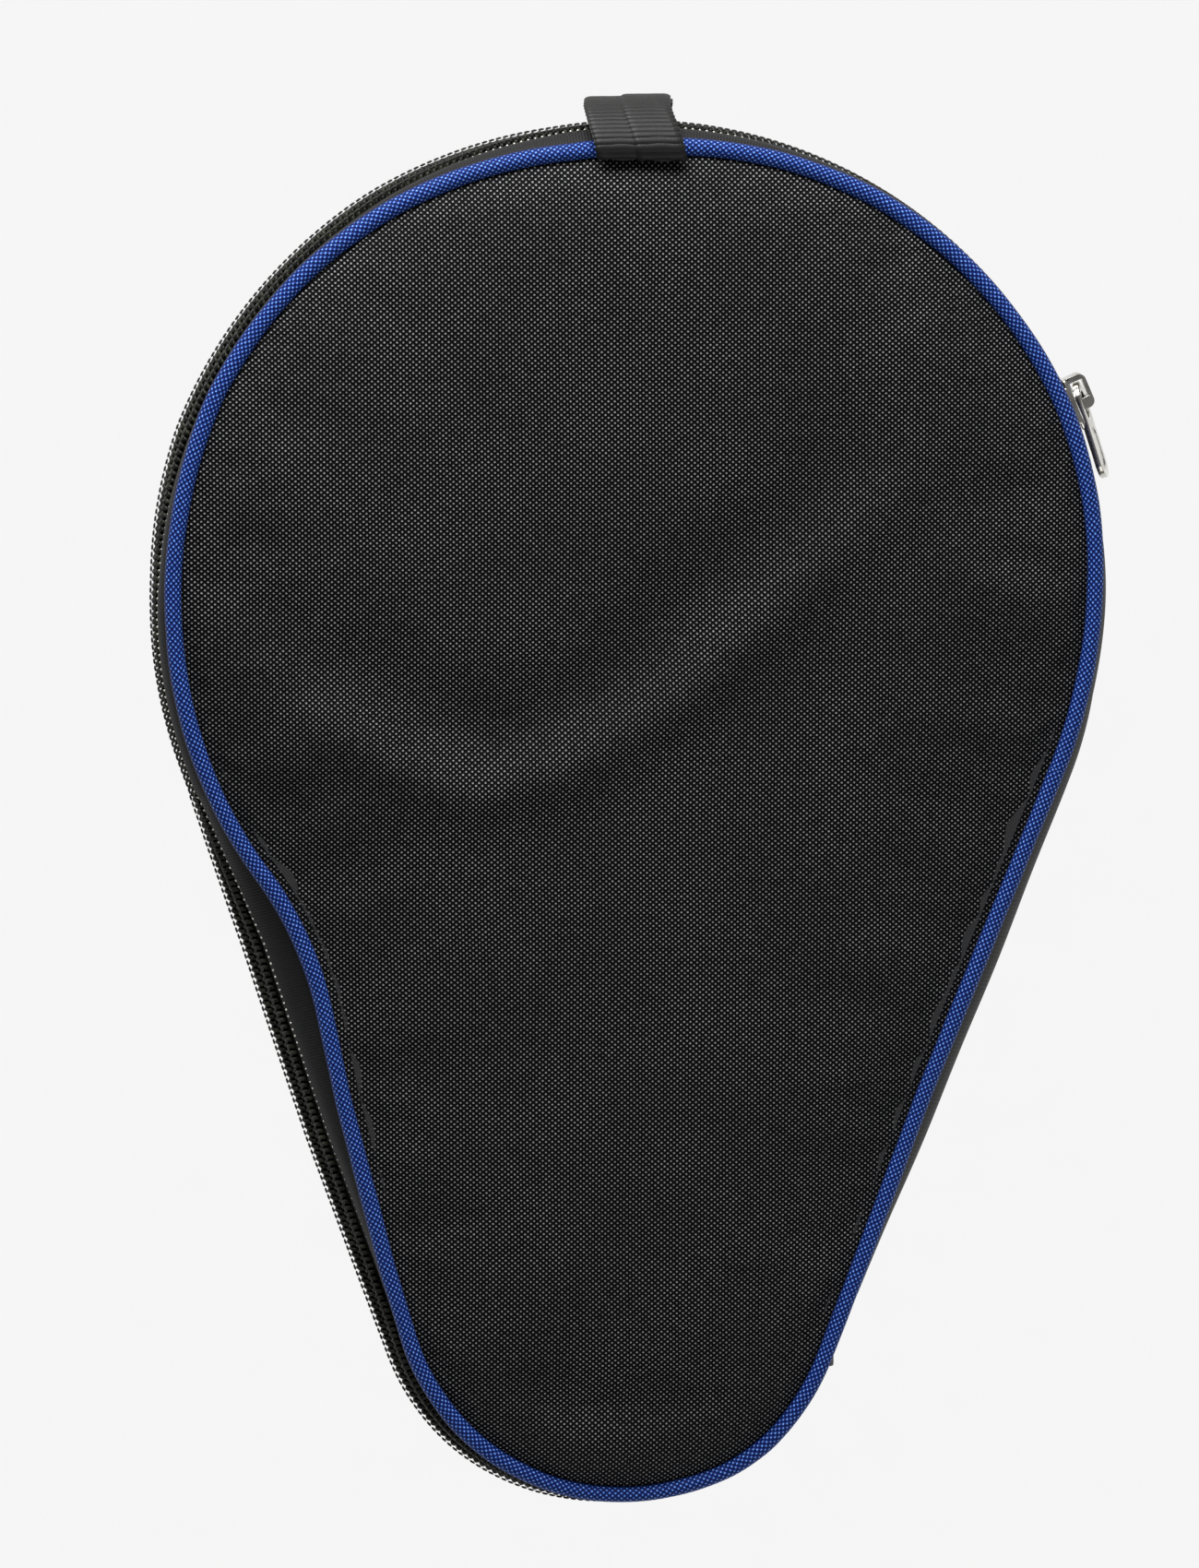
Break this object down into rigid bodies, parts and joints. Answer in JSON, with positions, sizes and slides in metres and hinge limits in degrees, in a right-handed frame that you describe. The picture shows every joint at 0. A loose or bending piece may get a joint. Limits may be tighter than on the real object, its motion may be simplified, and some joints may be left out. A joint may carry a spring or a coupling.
{
  "type": "table tennis paddle case",
  "caption": "Padded racket-shaped case with piped edges, a zip round most of its side wall, a hinge strip along one flank and a webbing hanging loop.",
  "frame": {"origin": "on the flat back face, under the centre of the round head", "axes": "+Y towards the hanging loop along the length, +Z out of the front panel, +X towards the hinge side"},
  "size_m": [0.1982, 0.296, 0.0282],
  "materials": {
    "cover_cloth": "black plain-weave nylon",
    "foam": "soft closed-cell foam",
    "lining_cloth": "thin black lining",
    "piping_cloth": "royal blue woven piping",
    "cord": "twisted filler cord",
    "binding_tape": "black binding tape",
    "zip_tape": "charcoal ribbed tape",
    "zip_coil": "nylon coil",
    "thread": "pale sewing thread",
    "hinge_tape": "ribbed olive black tape",
    "nickel": "bright nickel plating",
    "webbing": "black ribbed webbing"
  },
  "bodies": {
    "back_shell": {"back_panel": "cover_cloth", "back_foam_pad": "foam", "back_lining": "lining_cloth", "back_piping": "piping_cloth", "back_piping_core": "cord", "back_seam_binding": "binding_tape", "back_zip_tape": "zip_tape", "back_zip_coil": "zip_coil", "back_coil_stitching": "thread", "back_hinge_strip": "hinge_tape", "back_top_stop": "nickel", "zip_bottom_stop": "nickel"},
    "front_shell": {"front_panel": "cover_cloth", "front_foam_pad": "foam", "front_lining": "lining_cloth", "front_piping": "piping_cloth", "front_piping_core": "cord", "front_seam_binding": "binding_tape", "front_zip_tape": "zip_tape", "front_zip_coil": "zip_coil", "front_coil_stitching": "thread", "front_hinge_strip": "hinge_tape", "front_top_stop": "nickel"},
    "slider": {"zip_slider": "nickel"},
    "pull": {"pull_tab": "nickel"},
    "loop": {"hang_loop": "webbing"}
  },
  "joints": [
    {"name": "lid_hinge", "type": "hinge", "parent": "back_shell", "child": "front_shell", "pos_m": [0.09116, -0.03665, 0.0138], "axis": [0.373, 0.9278, 0], "range_deg": [0, 120], "deforming": ["front_zip_coil", "front_coil_stitching"]},
    {"name": "slider_travel", "type": "hinge", "parent": "back_shell", "child": "slider", "pos_m": [0, 0, 0.0138], "axis": [0, 0, 1], "range_deg": [0, 172], "deforming": ["back_zip_coil", "back_coil_stitching"]},
    {"name": "pull_swing", "type": "hinge", "parent": "slider", "child": "pull", "pos_m": [0.09243, 0.04259, 0.0138], "axis": [0, 0, 1], "range_deg": [0, 170]},
    {"name": "loop_flop", "type": "hinge", "parent": "front_shell", "child": "loop", "pos_m": [0.0003, 0.0916, 0.0269], "axis": [1, 0, 0], "range_deg": [0, 120]}
  ]
}
